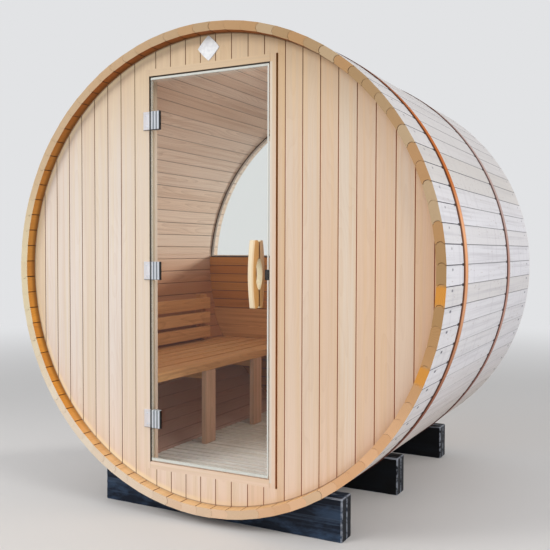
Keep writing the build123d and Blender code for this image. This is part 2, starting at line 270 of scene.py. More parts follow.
def wood_figure(finish, ring=0.0035):
    """Figure of a board from its own grain coordinates: rings round its pith, streaks and fine fibre."""
    across, through, _ = finish.split(finish.attribute("grain", "Vector"))
    wander = finish.grain_noise((9.0, 9.0, 1.3), detail=1.0) * 0.05
    across = across + wander
    through = through + wander
    from_pith = (across * across + through * through) ** 0.5
    rings = ((from_pith / ring) % 1.0) ** 3.0
    streaks = finish.grain_noise((55.0, 55.0, 1.1), detail=3.0, roughness=0.6)
    fibre = finish.grain_noise((420.0, 420.0, 9.0), roughness=0.7)
    return rings, streaks, fibre


def side_masks(finish):
    """Where a face is on the outside, a cut end, or an eased joint."""
    side = finish.attribute("side")
    return side.within(0.5, 1.5), side.within(1.5, 2.5), side > 2.5


def front_wood():
    """Planed softwood of the front: cream on the left, peach on the right, and painted shade in warm brown
    inside.
    """
    finish, x, y, z = new_finish("front_wood")
    rings, streaks, fibre = wood_figure(finish)
    outside, end, joint = side_masks(finish)
    tone = finish.attribute("tone")
    rightward = x.fade(-0.55, 0.65)
    off_axis = from_axis(x, z)
    near_rim = off_axis.fade(INNER_R - 0.030, INNER_R - 0.008)
    veins = finish.grain_noise((70.0, 70.0, 0.8))
    in_wall = y < WALL_BACK + NEAR
    behind_face = y > WALL_FRONT + NEAR

    beside_groove = x.within(GROOVE_RIGHT, RIGHT_JOINTS[0]) * in_wall
    beside_glass = (x > OPENING_RIGHT - NEAR) * x.fade(OPENING_RIGHT + 0.016, OPENING_RIGHT + 0.006)
    beside_glass = beside_glass * z.within(FRAME_LOW + 0.02, OPENING_TOP) * in_wall
    # Painted shadow on the jamb and head, in the gap beside and over the glass
    gap_left = (x < OPENING_LEFT + HAIR) * (y < WALL_FRONT + GAP_BESIDE)
    gap_top = (z > OPENING_TOP - HAIR) * (y < WALL_FRONT + GAP_OVER)
    gap_shadow = (gap_left + gap_top) * behind_face * x.within(OPENING_LEFT - NEAR, OPENING_RIGHT)
    reveal = (abs(x - OPENING_LEFT) < HAIR) * y.within(WALL_FRONT + GAP_BESIDE, WALL_BACK - NEAR)
    in_groove = x.within(FRAME_RIGHT - HAIR, GROOVE_RIGHT) * behind_face * in_wall
    in_groove = in_groove * (abs(z - AXIS_Z) < FRAME_TOP - AXIS_Z)

    cool = finish.mix(rightward, (231, 220, 212), (225, 207, 188))
    warm = finish.mix(rightward, (227, 208, 184), (221, 181, 148))
    yellowish = finish.mix(rightward, (226, 208, 176), (222, 188, 146))
    # Painted shade in the groove beside the frame: brown, darker towards the top
    groove_painted_shade = finish.mix(z.fade(0.3, 1.9), (216, 146, 80), (184, 122, 34))
    board = finish.coats(cool, (
        (tone, warm),
        # A little darker from 1.1 m up, then painted shade, tan, towards the top of the wall under the top
        # of the rim
        (z.fade(1.1, 1.5) * 0.25, (206, 194, 178)),
        (z.fade(1.5, 2.1) * 0.75, (204, 176, 138)),
        (z.fade(0.8, 0.15) * 0.5, (248, 218, 196)),
        (veins.fade(0.42, 0.66) * 0.42, yellowish),
        (streaks.fade(0.46, 0.72) * 0.3, (210, 182, 156)),
        (rings * 0.1, (182, 138, 102)),
        (fibre * 0.1, (206, 178, 150)),
        (beside_groove * 0.3, (204, 162, 104)),
        # Near the rim: painted light, pale yellow, on the left against the lip's cast shadow; painted shade
        # on the right; and a dark line at the rim that is partly the joint and partly painted contact shade
        (near_rim * (1 - rightward) * 0.85 * in_wall, (255, 236, 198)),
        (near_rim * rightward * 0.2, (196, 150, 98)),
        (off_axis.fade(INNER_R - 0.005, INNER_R - 0.002) * 0.6, (112, 70, 36)),
        (beside_glass * 0.6, (224, 218, 208)),
        (gap_shadow * 0.95, (36, 28, 12)),
        (reveal * 0.9, (178, 154, 118)),
        (in_groove * 0.9, groove_painted_shade),
    ))
    # Inner faces: the same planed wood in painted shade, a saturated warm brown
    room = finish.mix(tone, (208, 148, 74), (192, 126, 56))
    joint_shade = finish.mix(rightward, (112, 76, 62), (146, 76, 44))
    colour = finish.coats(room, (
        (streaks.fade(0.4, 0.75) * 0.4, (140, 84, 42)),
        (outside, board),
        (end, (205, 165, 120)),
        (joint * 0.88, finish.mix(z.fade(1.5, 1.9) * 0.7, joint_shade, (92, 74, 52))),
    ))
    relief = rings * 0.3 + fibre * 0.5
    return finish.surface(colour, 0.5 + 0.15 * fibre, relief, depth=0.0003, Specular_IOR_Level=0.35)


def weathered_wood(finish, tone, streaks, turned, y, z):
    """Outside of the staves: grey-white, dark round the screws, and painted shade where joints meet each
    strap.
    """
    beige = tone ** 4.0 * (0.3 + 0.7 * z.fade(0.6, 1.0))
    mill = finish.grain_noise((1.5, 1.5, 22.0), detail=1.0)
    specks = finish.grain_noise((90.0, 90.0, 26.0), detail=1.0)
    colour = finish.coats((230, 229, 234), (
        (beige * 0.85, (212, 206, 198)),
        (streaks.fade(0.45, 0.75) * 0.55, (190, 187, 192)),
        (mill.fade(0.52, 0.7) * 0.22, (190, 186, 194)),
        # A little darker towards the top, and a painted warm reflection of the ground low down
        (z.fade(1.2, 1.65) * 0.6, (202, 196, 190)),
        (z.fade(0.8, 0.3) * 0.6, (206, 190, 174)),
        (specks.fade(0.66, 0.76) * 0.4, (174, 158, 152)),
    ))
    stave_w = STAVE_STEP * OUTER_R
    off_screw = ((turned + 0.5 - SCREW_OFF) % 1.0 - 0.5) * stave_w
    for row in SCREW_ROWS:
        along = (y - row) * 0.45
        stain = ((off_screw * off_screw + along * along) ** 0.5).fade(*SCREW_STAIN)
        colour = finish.mix(stain * (0.9 - 0.7 * z.fade(0.9, 1.2)), colour, (84, 90, 110))
    off_joint = abs(turned % 1.0 - 0.5) * stave_w
    # Painted shade where a joint runs under the front edge of each strap
    for strap in STRAPS:
        edge = low(strap).y
        strap_edge_shade = y.within(edge - 0.020, edge + 0.002) * off_joint.fade(0.007, 0.004)
        colour = finish.mix(strap_edge_shade * 0.92, colour, (24, 18, 20))
    return colour


def cut_wood(finish, tone, rings, fibre, turned, x, z):
    """End grain of the staves: cream to tan from left to right, paler below, orange where resinous."""
    rightward = x.fade(-0.85, 0.75)
    colour = finish.mix(rightward, (228, 216, 182), (170, 136, 92))
    colour = finish.coats(colour, (
        (z.fade(0.95, 0.35) * 0.92, finish.mix(rightward, (242, 230, 212), (243, 193, 150))),
        (z.fade(1.05, 1.75) * 0.7, (190, 156, 124)),
        (z.fade(1.3, 1.8) * rightward * 0.5, (156, 132, 90)),
        (tone.fade(0.4, 0.8) * (0.1 + 0.25 * rightward), (206, 150, 96)),
        (tone.fade(0.3, 0.1) * rightward * 0.5, (206, 188, 158)),
    ))
    for resinous in RESIN_STAVES:
        off_middle = abs(turned - resinous - 0.06) + (fibre - 0.5) * 0.4
        colour = finish.mix(off_middle.fade(0.58, 0.34) * 0.9, colour, (222, 150, 52))
    return finish.coats(colour, ((rings * 0.3, (146, 102, 62)), (fibre * 0.2, (160, 122, 84))))


def stave_wood():
    """Staves: weathered outside, cream to tan ends, lips in painted light and shade, painted shade low in
    the room.
    """
    finish, x, y, z = new_finish("stave_wood")
    rings, streaks, fibre = wood_figure(finish, ring=0.0045)
    outside, end, joint = side_masks(finish)
    tone = finish.attribute("tone")
    turned = finish.turned(x, z) * (1 / STAVE_STEP)
    weathered = weathered_wood(finish, tone, streaks, turned, y, z)
    cut = cut_wood(finish, tone, rings, fibre, turned, x, z)

    lowward = z.fade(0.75, 0.12)
    # Nearness to the front wall, for the painted shade in the lip's corner
    deep = y.fade(WALL_FRONT - 0.032, WALL_FRONT - 0.006)
    # Lip: painted light, peach to orange, low down; painted shade, dark brown, towards the top and in the
    # corner next to the front wall
    lip = finish.coats((230, 190, 140), (
        (z.fade(0.12, 0.5), (226, 154, 58)),
        (z.fade(0.7, 1.3), (198, 138, 62)),
        (z.fade(1.35, 2.0), (142, 78, 30)),
        (tone * 0.35 * (1 - lowward), (170, 96, 34)),
        (streaks.fade(0.4, 0.8) * 0.25, (170, 102, 40)),
        (deep * (0.74 - 0.55 * lowward), (98, 60, 20)),
    ))
    under_bench = z.fade(0.62, 0.45)
    # Room side: pale and greyish above, partly the wood and partly a painted reflection of the door glass;
    # painted shade from 1.6 m down, orange-brown below about 1.1 m; greyer under the bench
    room = finish.coats((244, 230, 216), (
        (tone, (234, 212, 192)),
        (streaks.fade(0.4, 0.8) * 0.5, (194, 160, 132)),
        (z.fade(1.6, 1.1) * 0.4, (206, 178, 150)),
        (z.fade(1.26, 0.93) * 0.88, (184, 118, 64)),
        (under_bench * 0.85, (204, 174, 164)),
    ))
    in_room = y.fade(WALL_FRONT - NEAR, WALL_FRONT)

    outer_joint = joint * (from_axis(x, z) > (INNER_R + OUTER_R) / 2)
    inner_joint = joint - outer_joint
    before_strap = y.fade(high("band_front").y, low("band_front").y - 0.02)
    outer_depth = 0.2 + 0.45 * before_strap + 0.42 * z.fade(0.9, 1.5) + 0.25 * tone
    inner_depth = (1 - in_room) * 0.9 + in_room * (0.58 - 0.25 * under_bench)
    inner_shade = finish.mix(lowward, (80, 44, 22), (120, 68, 32))
    at_end = (y < FRONT_Y + END_ZONE) + (y > REAR_Y - END_ZONE)
    shows = x.fade(0.3, 0.7) * z.fade(1.05, 1.35) * (0.25 + 0.7 * tone.fade(0.35, 0.6))
    colour = finish.coats(lip, (
        (in_room, room),
        (rings * 0.2, (120, 74, 40)),
        (outside + outer_joint, weathered),
        (end, cut),
        (outer_joint * outer_depth, (70, 68, 80)),
        (inner_joint * inner_depth, inner_shade),
        (joint * at_end, finish.mix(shows, cut, (80, 50, 28))),
    ))
    relief = rings * 0.3 + fibre * 0.6
    return finish.surface(colour, 0.62 + 0.2 * fibre, relief, depth=0.0006, Specular_IOR_Level=0.3)


def plain_wood(name, pale, deep, dark, shade_further_in=0.0):
    """Joinery wood: two tones that differ from board to board, with darker streaks and rings.

    The last argument gives how much painted shade darkens the wood further from the door.
    """
    finish, _, y, _ = new_finish(name)
    rings, streaks, fibre = wood_figure(finish)
    colour = finish.coats(pale, (
        (finish.attribute("tone"), deep),
        # Painted shade further from the door
        (y.fade(WALL_BACK + 0.25, WALL_BACK + 0.9) * shade_further_in, dark),
        (streaks.fade(0.4, 0.75) * 0.5, dark),
        (rings * 0.3, dark),
        ((fibre - 0.5) * 0.3 + 0.05, dark),
    ))
    return finish.surface(colour, 0.5 + 0.15 * fibre, rings * 0.3 + fibre * 0.5, depth=0.0003)


def handle_wood():
    """Handle: pale cream in front, tan on its rounded right edge, orange-brown on its right side, inner one
    in painted light.
    """
    finish, x, y, z = new_finish("handle_wood")
    rings, streaks, fibre = wood_figure(finish, ring=0.0022)
    right = high("door_handle_outer").x
    glass_back = low("door_handle_inner").y
    flank = x.fade(right - 0.0016, right - 0.0004)
    outer = y < WALL_FRONT
    inner = 1 - outer
    colour = finish.coats((242, 226, 194), (
        (streaks.fade(0.4, 0.7) * 0.3, (230, 204, 160)),
        (x.fade(right - 0.010, right - 0.004) * 0.45, (210, 166, 104)),
        (flank * outer * 0.92, (200, 146, 76)),
        # Inner handle: paler as painted light, and painted shade where it meets the glass
        (inner * (1 - flank) * 0.8, (255, 242, 210)),
        (flank * inner * 0.85, finish.mix(z.fade(1.06, 1.14), (238, 182, 118), (248, 208, 166))),
        (y.fade(glass_back + 0.006, glass_back + 0.003) * inner * 0.9, (120, 70, 30)),
        (rings * 0.2, (190, 140, 88)),
        (fibre * 0.12, (190, 150, 100)),
    ))
    return finish.surface(colour, 0.38 + 0.12 * fibre, fibre, depth=0.0002)


def cradle_timber():
    """Cradles: black-blue stain, paler in worn patches, pale grey on eased edges, and painted shade, near
    black, under the barrel.
    """
    finish, x, y, z = new_finish("cradle_timber")
    _, streaks, fibre = wood_figure(finish)
    worn = finish.grain_noise((14.0, 14.0, 5.0), detail=4.0, roughness=0.65)
    edge_mottle = finish.grain_noise((60.0, 60.0, 12.0), detail=3.0)
    side, back, top = high("cradle_front")
    at_end = abs(x).fade(side - 0.002, side - 0.001)
    # Painted shade, near black, on the cradles behind the front one, which lie under the barrel; their ends
    # are left out
    shaded = (y > back + 0.01) * (1 - at_end)
    shoulder = abs(x).fade(side - 0.011, side - 0.002) * z.fade(top - 0.010, top - 0.002)
    chamfer = finish.attribute("side") > 0.5
    # Pale grey on the eased edges, in patches, and near the upper corners of the ends
    pale_edges = chamfer * edge_mottle.fade(0.35, 0.6) + shoulder * 0.4
    colour = finish.coats((18, 26, 40), (
        (worn.fade(0.42, 0.64) * 0.75, (58, 78, 104)),
        (streaks.fade(0.5, 0.7) * 0.5, (78, 94, 116)),
        (at_end * 0.92, (4, 9, 18)),
        (shaded * 0.95, (3, 4, 6)),
        (pale_edges * 0.85, (164, 170, 182)),
    ))
    relief = worn * 0.5 + fibre
    return finish.surface(colour, 0.6 - 0.15 * worn, relief, depth=0.0008, Specular_IOR_Level=0.2)


def strap_metal():
    """Straps: coppery orange at the sides, brown over the top and underneath, with painted shade along the
    front edge.
    """
    finish, x, y, z = new_finish("strap_metal")
    drawn = finish.join(finish.turned(x, z) * 3.0, y * 60.0, 0.0)
    smear = finish.noise(drawn, detail=4.0, roughness=0.6)
    blotch = finish.noise(finish.join(x, y, z), scale=7.0, detail=3.0)
    middle_start = low("band_middle").y
    to_middle = y.fade(middle_start - 0.05, middle_start)
    # Painted shade along each strap's front edge, and a fainter dark line along its rear edge
    edges = 0.0
    for strap in STRAPS:
        start, stop = low(strap).y, high(strap).y
        edges = edges + (y > start - NEAR) * y.fade(start + 0.022, start + 0.010)
        edges = edges + 0.5 * y.fade(stop - 0.004, stop - 0.002) * (y < stop + NEAR)
    colour = finish.coats((246, 182, 136), (
        (smear.fade(0.35, 0.7), (232, 154, 102)),
        (blotch.fade(0.5, 0.7) * 0.4, (236, 180, 144)),
        (to_middle * 0.88, (188, 148, 138)),
        (z.fade(1.25, 1.5) * (1 - to_middle) * 0.95, (194, 101, 6)),
        (z.fade(1.1, 1.4) * to_middle * 0.8, (186, 164, 158)),
        (z.fade(1.7, 1.95) * 0.85, (124, 76, 52)),
        (z.fade(1.22 - 0.3 * to_middle, 0.35), finish.mix(to_middle, (132, 72, 54), (146, 96, 84))),
        (edges * 0.85, (70, 34, 20)),
    ))
    return finish.surface(colour, 0.55 + 0.25 * blotch, smear, depth=0.0003, Specular_IOR_Level=0.12)


def hinge_chrome():
    """Hinges: bright brushed metal, painted shade between ribs, dark in knuckles and on the clamp's free
    edge, painted shadow below.
    """
    finish, x, y, z = new_finish("hinge_chrome")
    brushed = finish.noise(finish.join(x * 2500.0, y * 2500.0, z * 60.0), detail=1.0)
    mottle = finish.noise(finish.join(x, y, z), scale=90.0)
    in_rib = ((x - CLAMP_LEFT) / RIB_STEP) % 1.0
    # Grey lines between the ribs: painted shade in the grooves
    groove = in_rib.fade(0.60, 0.70) * in_rib.fade(1.0, 0.94) * (x > CLAMP_LEFT)
    knuckle = x.within(LEAF_RIGHT + 0.0004, CLAMP_LEFT - 0.0004)
    colour = finish.coats((208, 214, 222), (
        (mottle, (226, 230, 234)),
        (x < LEAF_RIGHT + 0.0004, (250, 250, 255)),
        (groove * 0.85, (104, 112, 120)),
        (knuckle * 0.9, (58, 64, 66)),
        (x.fade(CLAMP_RIGHT - 0.0034, CLAMP_RIGHT - 0.0026), (12, 10, 10)),
    ))
    # Painted shadow along the lower edge of each hinge
    for middle in HINGE_MIDDLES:
        underside_shadow = abs(z - middle + HINGE_H / 2) < 0.0014
        colour = finish.mix(underside_shadow * 0.9, colour, (40, 34, 34))
    return finish.surface(colour, 0.3 + 0.12 * brushed, brushed, depth=0.00005, Metallic=0.3)


def clear_glass(name, tint, highlight_colour, edges):
    """Clear glass: see-through, with a mirror sheen at low angles and a pale painted highlight where edges
    says.
    """
    finish, x, y, z = new_finish(name)
    see_through = finish.node("BsdfTransparent", sockets={"Color": tint})
    mirror = finish.node("BsdfGlossy", sockets={"Color": (1.0, 1.0, 1.0, 1.0), "Roughness": 0.01})
    facing = finish.node("LayerWeight", sockets={"Blend": 0.5}, output=1)
    pane = finish.node("MixShader", sockets={0: 0.015 + 0.85 * facing ** 5.0, 1: see_through, 2: mirror})
    ripple = finish.noise(finish.join(x * 40.0, y * 40.0, z * 3.0))
    edge = finish.cover(finish.mix(ripple * 0.5, highlight_colour, (236, 242, 238)), roughness=0.15)
    return finish.end_in(finish.node("MixShader", sockets={0: edges(finish, x, z), 1: pane, 2: edge}))


def door_glass_edges(finish, x, z):
    """Painted highlights in bands along the edges of the leaf: bright at the right, top and foot, faint on
    the hinge side.
    """
    left, right = low("door_glass").x, high("door_glass").x
    bottom, top = low("door_glass").z, high("door_glass").z
    catch_top = high("door_catch").z
    catch_middle = (low("door_catch").z + catch_top) / 2
    strongest = 0.0
    for band in (
        x.fade(right - 0.0060, right - 0.0045) * 0.95,
        z.fade(top - 0.0105, top - 0.0085) * 0.8,
        z.fade(top - 0.026, top - 0.018) * 0.06,
        z.fade(bottom + 0.015, bottom + 0.010) * 0.85,
        x.fade(left + 0.012, left + 0.008) * 0.22,
        finish.attribute("side") * (x > 0) * 0.2,
    ):
        strongest = finish.math("MAXIMUM", strongest, band)
    beside_catch = (abs(z - catch_middle) < catch_top - catch_middle) * (x > 0)
    return strongest * (1 - beside_catch)


def window_glass_edges(finish, x, z):
    """Painted highlight on the rim of the rear window, the same at any x and z."""
    return finish.attribute("side") * 0.6


def small_part(name, colour, other, roughness, metallic=0.0, scale=120.0, bleached=None):
    """Finish of small parts: one colour, slightly mottled and rough, bleached above where asked."""
    finish, x, y, z = new_finish(name)
    mottle = finish.noise(finish.join(x, y, z), scale, detail=3.0)
    colour = finish.mix(mottle.fade(0.35, 0.65), colour, other)
    if bleached:
        colour = finish.mix(z.fade(0.95, 1.25) * 0.85, colour, bleached)
    return finish.surface(colour, roughness + 0.15 * mottle, mottle, depth=0.0002, Metallic=metallic)


# Shapes

# Wood: where the pith of a board may lie, across it, through it and along it
PITH_LEAST = (-0.05, 0.03, 0.0)
PITH_MOST = (0.05, 0.12, 40.0)

# Wall boards: points across a face and round an edge, and the width and depth of a rounded edge
BOARD_STEPS = 8
EDGE_STEPS = 4
BOARD_EASE = 0.002
BOARD_DROP = 1.4 * BOARD_EASE

# Staves: the bead along one edge, the eased corners, and how far one stave differs from the next
BEAD = 0.0095
BEAD_CLIMB = 1.45 * BEAD
BEAD_STEPS = 9
OUTER_EASE, INNER_EASE = 0.0014, 0.0019
CORNER_STEPS = 3
GAP_LEAST, GAP_SPREAD = 0.0002, 0.0006
SUNK_MOST = 0.0005
SAWN_MOST = 0.0014
CHAMFER_UPPER_RIGHT, CHAMFER_ELSEWHERE = 2.4, 0.5

# Straps: points round the barrel, and how much of their thickness is rounded
HOOP_STEPS = 4 * STAVE_COUNT
HOOP_EASE = 0.45

# Window seals: points over the arc and along the sill
ARC_STEPS, SILL_STEPS = 97, 25

# Copies of nodes: points nearer than this are merged, and these angles are flat and sharp
MERGE = 1e-5
FLAT_ANGLE, SHARP_ANGLE = radians(0.5), radians(25)


def round_turn(count):
    """So many equal steps of a full turn, from zero."""
    return np.arange(count) * 2 * pi / count


def unit(vector):
    """A vector brought to a length of 1."""
    return vector / np.linalg.norm(vector)


def end_caps(last, size):
    """Faces that close a skin of rings: the first ring turned over, and the ring that starts at last."""
    return [tuple(range(size))[::-1], tuple(range(last, last + size))]


class Stock:
    """Boards or fittings in one mesh, with grain coordinates, a tone, and a side for every face."""

    def __init__(self):
        self.points, self.grain, self.tone = [], [], []
        self.faces, self.sides = [], []
        self.count = 0

    def add(self, points, faces, sides=None, tone=0.5, grain=None):
        """Add a closed surface, turned right side out by the sign of its volume."""
        points = np.asarray(points, float)
        fans = [(face[0], face[i], face[i + 1]) for face in faces for i in range(1, len(face) - 1)]
        a, b, c = (points[[fan[i] for fan in fans]] for i in range(3))
        if np.einsum("ij,ij->i", a, np.cross(b, c)).sum() < 0:
            faces = [face[::-1] for face in faces]
        self.points.append(points)
        self.grain.append(points if grain is None else np.asarray(grain, float))
        self.tone.append(np.full(len(points), tone))
        self.faces += [tuple(int(i) + self.count for i in face) for face in faces]
        self.sides += [INSIDE] * len(faces) if sides is None else list(sides)
        self.count += len(points)

    def make(self, name, material, slot, stands_for=(), smooth=None):
        """Make a piece of the cabin, and hide the nodes it stands for."""
        mesh = bpy.data.meshes.new(name)
        mesh.from_pydata(np.concatenate(self.points).tolist(), [], self.faces)
        dress(mesh, name, material, "cabin", stands_for, smooth,
              np.concatenate(self.grain), np.concatenate(self.tone), self.sides)


def put_in_scene(name, data):
    """A new object in the scene."""
    thing = bpy.data.objects.new(name, data)
    bpy.context.scene.collection.objects.link(thing)
    return thing


def dress(mesh, name, material, body, stands_for, smooth, grain, tone, sides):
    """Give a mesh its attributes, finish and shading, and put it into the scene as a piece."""
    mesh.attributes.new("grain", "FLOAT_VECTOR", "POINT").data.foreach_set("vector", np.ravel(grain))
    mesh.attributes.new("tone", "FLOAT", "POINT").data.foreach_set("value", tone)
    mesh.attributes.new("side", "FLOAT", "FACE").data.foreach_set("value", sides)
    mesh.materials.append(material)
    if smooth is not None:
        mesh.shade_smooth()
        mesh.set_sharp_from_angle(angle=radians(smooth))
    piece = put_in_scene(name, mesh)
    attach(piece, body)
    if stands_for:
        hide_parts(*stands_for)


def skin(rings, size, closed=False):
    """Quads over a grid of rings of points; a closed skin joins its last ring to its first."""
    ring, place = np.meshgrid(np.arange(rings if closed else rings - 1), np.arange(size), indexing="ij")
    after = (place + 1) % size
    above = (ring + 1) % rings
    corners = (ring * size + place, ring * size + after, above * size + after, above * size + place)
    return np.stack(corners, -1).reshape(-1, 4).tolist()


def timber(count):
    """A random tone, and a random place of its pith, for each of so many boards."""
    tones = chance.random(count)
    piths = chance.uniform(PITH_LEAST, PITH_MOST, (count, 3))
    return tones, piths


def rim_height(x):
    """Half the height of the room's many-sided outline at x: the lowest of the lines along its flats."""
    turn = (np.arange(STAVE_COUNT // 2 - 1) - STAVE_COUNT // 4 + 1) * STAVE_STEP
    x = np.asarray(x, float)[..., None]
    return ((INNER_R - x * np.sin(turn)) / np.cos(turn)).min(-1)


def lay_boards(stock, joints, start, stop, faces_y, tones, piths, rounded=(True, True), upright=True):
    """Boards side by side over a wall, each cut between two outlines.

    Across a board, each face is a row of points whose ends drop back in a quarter round, and the point
    behind each lies in the other face. Along it, the points run from start to stop, which are functions
    of the place across. Rounded says whether the first and the last outer edge are rounded too.
    """
    outer_y, inner_y = faces_y
    inward = 1 if inner_y > outer_y else -1
    turn = np.linspace(0, pi / 2, EDGE_STEPS)[:-1]
    for board, (left, right) in enumerate(zip(joints[:-1], joints[1:])):
        left_turn = turn if rounded[0] or board else turn[:0]
        right_turn = turn if rounded[1] or board < len(joints) - 2 else turn[:0]
        flat_left = left + BOARD_EASE * (len(left_turn) > 0)
        flat_right = right - BOARD_EASE * (len(right_turn) > 0)
        across = np.concatenate((
            left + BOARD_EASE * (1 - np.cos(left_turn)),
            np.linspace(flat_left, flat_right, BOARD_STEPS),
            right - BOARD_EASE * (1 - np.cos(right_turn[::-1])),
        ))
        back = BOARD_DROP * np.concatenate((
            1 - np.sin(left_turn), np.zeros(BOARD_STEPS), 1 - np.sin(right_turn[::-1]),
        ))
        row = len(across)
        loop_across = np.concatenate((across, across[::-1]))
        loop_y = np.concatenate((outer_y + inward * back, inner_y - inward * back[::-1]))
        along = np.stack((start(loop_across), stop(loop_across)))
        wide = np.broadcast_to(loop_across, along.shape)
        deep = np.broadcast_to(loop_y, along.shape)
        parts = (wide, deep, along) if upright else (along, deep, wide)
        points = np.stack(parts, -1).reshape(-1, 3)
        grain = np.stack((wide, deep - outer_y, along), -1).reshape(-1, 3)
        grain = grain - ((left + right) / 2, 0, 0) + piths[board]
        sides = np.full(2 * row, JOINT)
        sides[len(left_turn):row - 1 - len(right_turn)] = OUTSIDE
        sides[row + len(right_turn):2 * row - 1 - len(left_turn)] = INSIDE
        faces = skin(2, 2 * row)
        caps = [
            (first, first + 1, ring + 2 * row - 2 - place, ring + 2 * row - 1 - place)
            for ring in (0, 2 * row)
            for place, first in enumerate(range(ring, ring + row - 1))
        ]
        caps = [face[::-1] if number < row - 1 else face for number, face in enumerate(caps)]
        stock.add(points, faces + caps, [*sides, *[CUT_END] * len(caps)], tones[board], grain)


def rim(sign):
    """The room's outline under its axis (-1) or over it (1), for a place at x."""
    return lambda x: AXIS_Z + sign * rim_height(x)


def rim_beside(sign):
    """The room's outline left of its axis (-1) or right of it (1), for a place at a height."""
    return lambda z: sign * rim_height(z - AXIS_Z)


def level(height):
    """An outline that is straight at this height."""
    return lambda x: np.full(np.shape(x), height)


def stave_outline(gap_left, gap_right, sunk):
    """Outline of a stave across its grain, as places across and out from the axis, up its right edge first.

    Its right edge carries a half-round bead and its left edge the hollow that takes the next stave's bead.
    All four corners are eased; the gaps are half the open joint on each side.
    """
    slope = tan(STAVE_STEP / 2)
    outer, inner = OUTER_R - sunk, INNER_R
    middle = (OUTER_R + INNER_R) / 2
    turn = np.linspace(0, pi, BEAD_STEPS)
    swell, climb = BEAD * np.sin(turn), BEAD_CLIMB * np.cos(turn)
    corner = np.linspace(0, pi / 2, CORNER_STEPS)
    drop, shrink = 1 - np.cos(corner), 1 - np.sin(corner)

    def edge(radius, gap):
        """How far the edge lies from the stave's middle at this radius."""
        return radius * slope - gap

    def corner_round(radius, ease, gap, outward):
        """A quarter round from the broad face to the edge, with outward -1 inside and 1 outside."""
        return np.stack((edge(radius, gap) - ease * shrink, radius - outward * ease * drop), -1)

    right = np.concatenate((
        corner_round(inner, INNER_EASE, gap_right, -1),
        np.stack((edge(middle - climb, gap_right) + swell, middle - climb), -1),
        corner_round(outer, OUTER_EASE, gap_right, 1)[::-1],
    ))
    left = np.concatenate((
        corner_round(outer, OUTER_EASE, gap_left, 1) * (-1, 1),
        np.stack((swell - edge(middle + climb, gap_left), middle + climb), -1),
        corner_round(inner, INNER_EASE, gap_left, -1)[::-1] * (-1, 1),
    ))
    outline = np.concatenate((right, left))
    half = len(right)
    sides = np.full(2 * half, JOINT)
    sides[half - 1] = OUTSIDE
    sides[2 * half - 1] = INSIDE
    return outline, sides


def stave_gaps():
    """Half the width of each open joint: most are tight and a few gape."""
    return GAP_LEAST + GAP_SPREAD * chance.random(STAVE_COUNT) ** 2


def lay_staves(first, gaps):
    """One node's staves, clockwise round the axis, all but the first sawn a little short.

    The outline is carried along the stave in four rings: the end ones are drawn in at both edges,
    by more at an open joint, so that a fine chamfer marks each joint in the end grain.
    """
    stock = Stock()
    tones, piths = timber(STAVES_PER_NODE)
    for place in range(STAVES_PER_NODE):
        number = first + place
        turn = 1.5 * pi - number * STAVE_STEP
        gap_right, gap_left = gaps[number - 1], gaps[number]
        outline, sides = stave_outline(gap_left, gap_right, SUNK_MOST * chance.random())
        upper_right = cos(turn) > 0.3 and sin(turn) > 0
        opening = CHAMFER_UPPER_RIGHT if upper_right else CHAMFER_ELSEWHERE
        chamfer = opening * np.where(outline[:, 0] > 0, gap_right, gap_left)
        drawn_in = outline - np.stack((np.sign(outline[:, 0]) * chamfer, np.zeros_like(chamfer)), -1)
        sawn = SAWN_MOST * chance.random(2) * (place > 0)
        ends = FRONT_Y + sawn[0], REAR_Y - sawn[1]
        rings, grain = [], []
        places = (ends[0], ends[0] + END_CUT, ends[1] - END_CUT, ends[1])
        for y, ring in zip(places, (drawn_in, outline, outline, drawn_in)):
            across, out = ring[:, 0], ring[:, 1]
            x = out * cos(turn) - across * sin(turn)
            z = AXIS_Z + out * sin(turn) + across * cos(turn)
            rings.append(np.stack((x, np.full_like(x, y), z), -1))
            grain.append(np.stack((across, out - OUTER_R, np.full_like(x, y)), -1))
        size = len(outline)
        end_sides = np.where(sides == JOINT, JOINT, CUT_END)
        sides = [*end_sides, *sides, *end_sides, CUT_END, CUT_END]
        grain = np.concatenate(grain) + piths[place]
        faces = skin(4, size) + end_caps(3 * size, size)
        stock.add(np.concatenate(rings), faces, sides, tones[place], grain)
    return stock


def hoop(stock, y_low, y_high, inner_r, outer_r):
    """A flat strap with rounded outer edges: its outline in y and radius, carried once round the axis."""
    ease = (outer_r - inner_r) * HOOP_EASE
    corner = np.linspace(0, pi / 2, EDGE_STEPS)
    inset = ease * (1 - np.cos(corner))
    radius = outer_r - ease * (1 - np.sin(corner))
    outline_y = np.concatenate(((y_low, y_high), y_high - inset, y_low + inset[::-1]))
    outline_r = np.concatenate(((inner_r, inner_r), radius, radius[::-1]))
    turn = round_turn(HOOP_STEPS)
    x = np.outer(np.cos(turn), outline_r)
    y = np.broadcast_to(outline_y, x.shape)
    z = AXIS_Z + np.outer(np.sin(turn), outline_r)
    stock.add(np.stack((x, y, z), -1).reshape(-1, 3), skin(HOOP_STEPS, len(outline_r), closed=True))


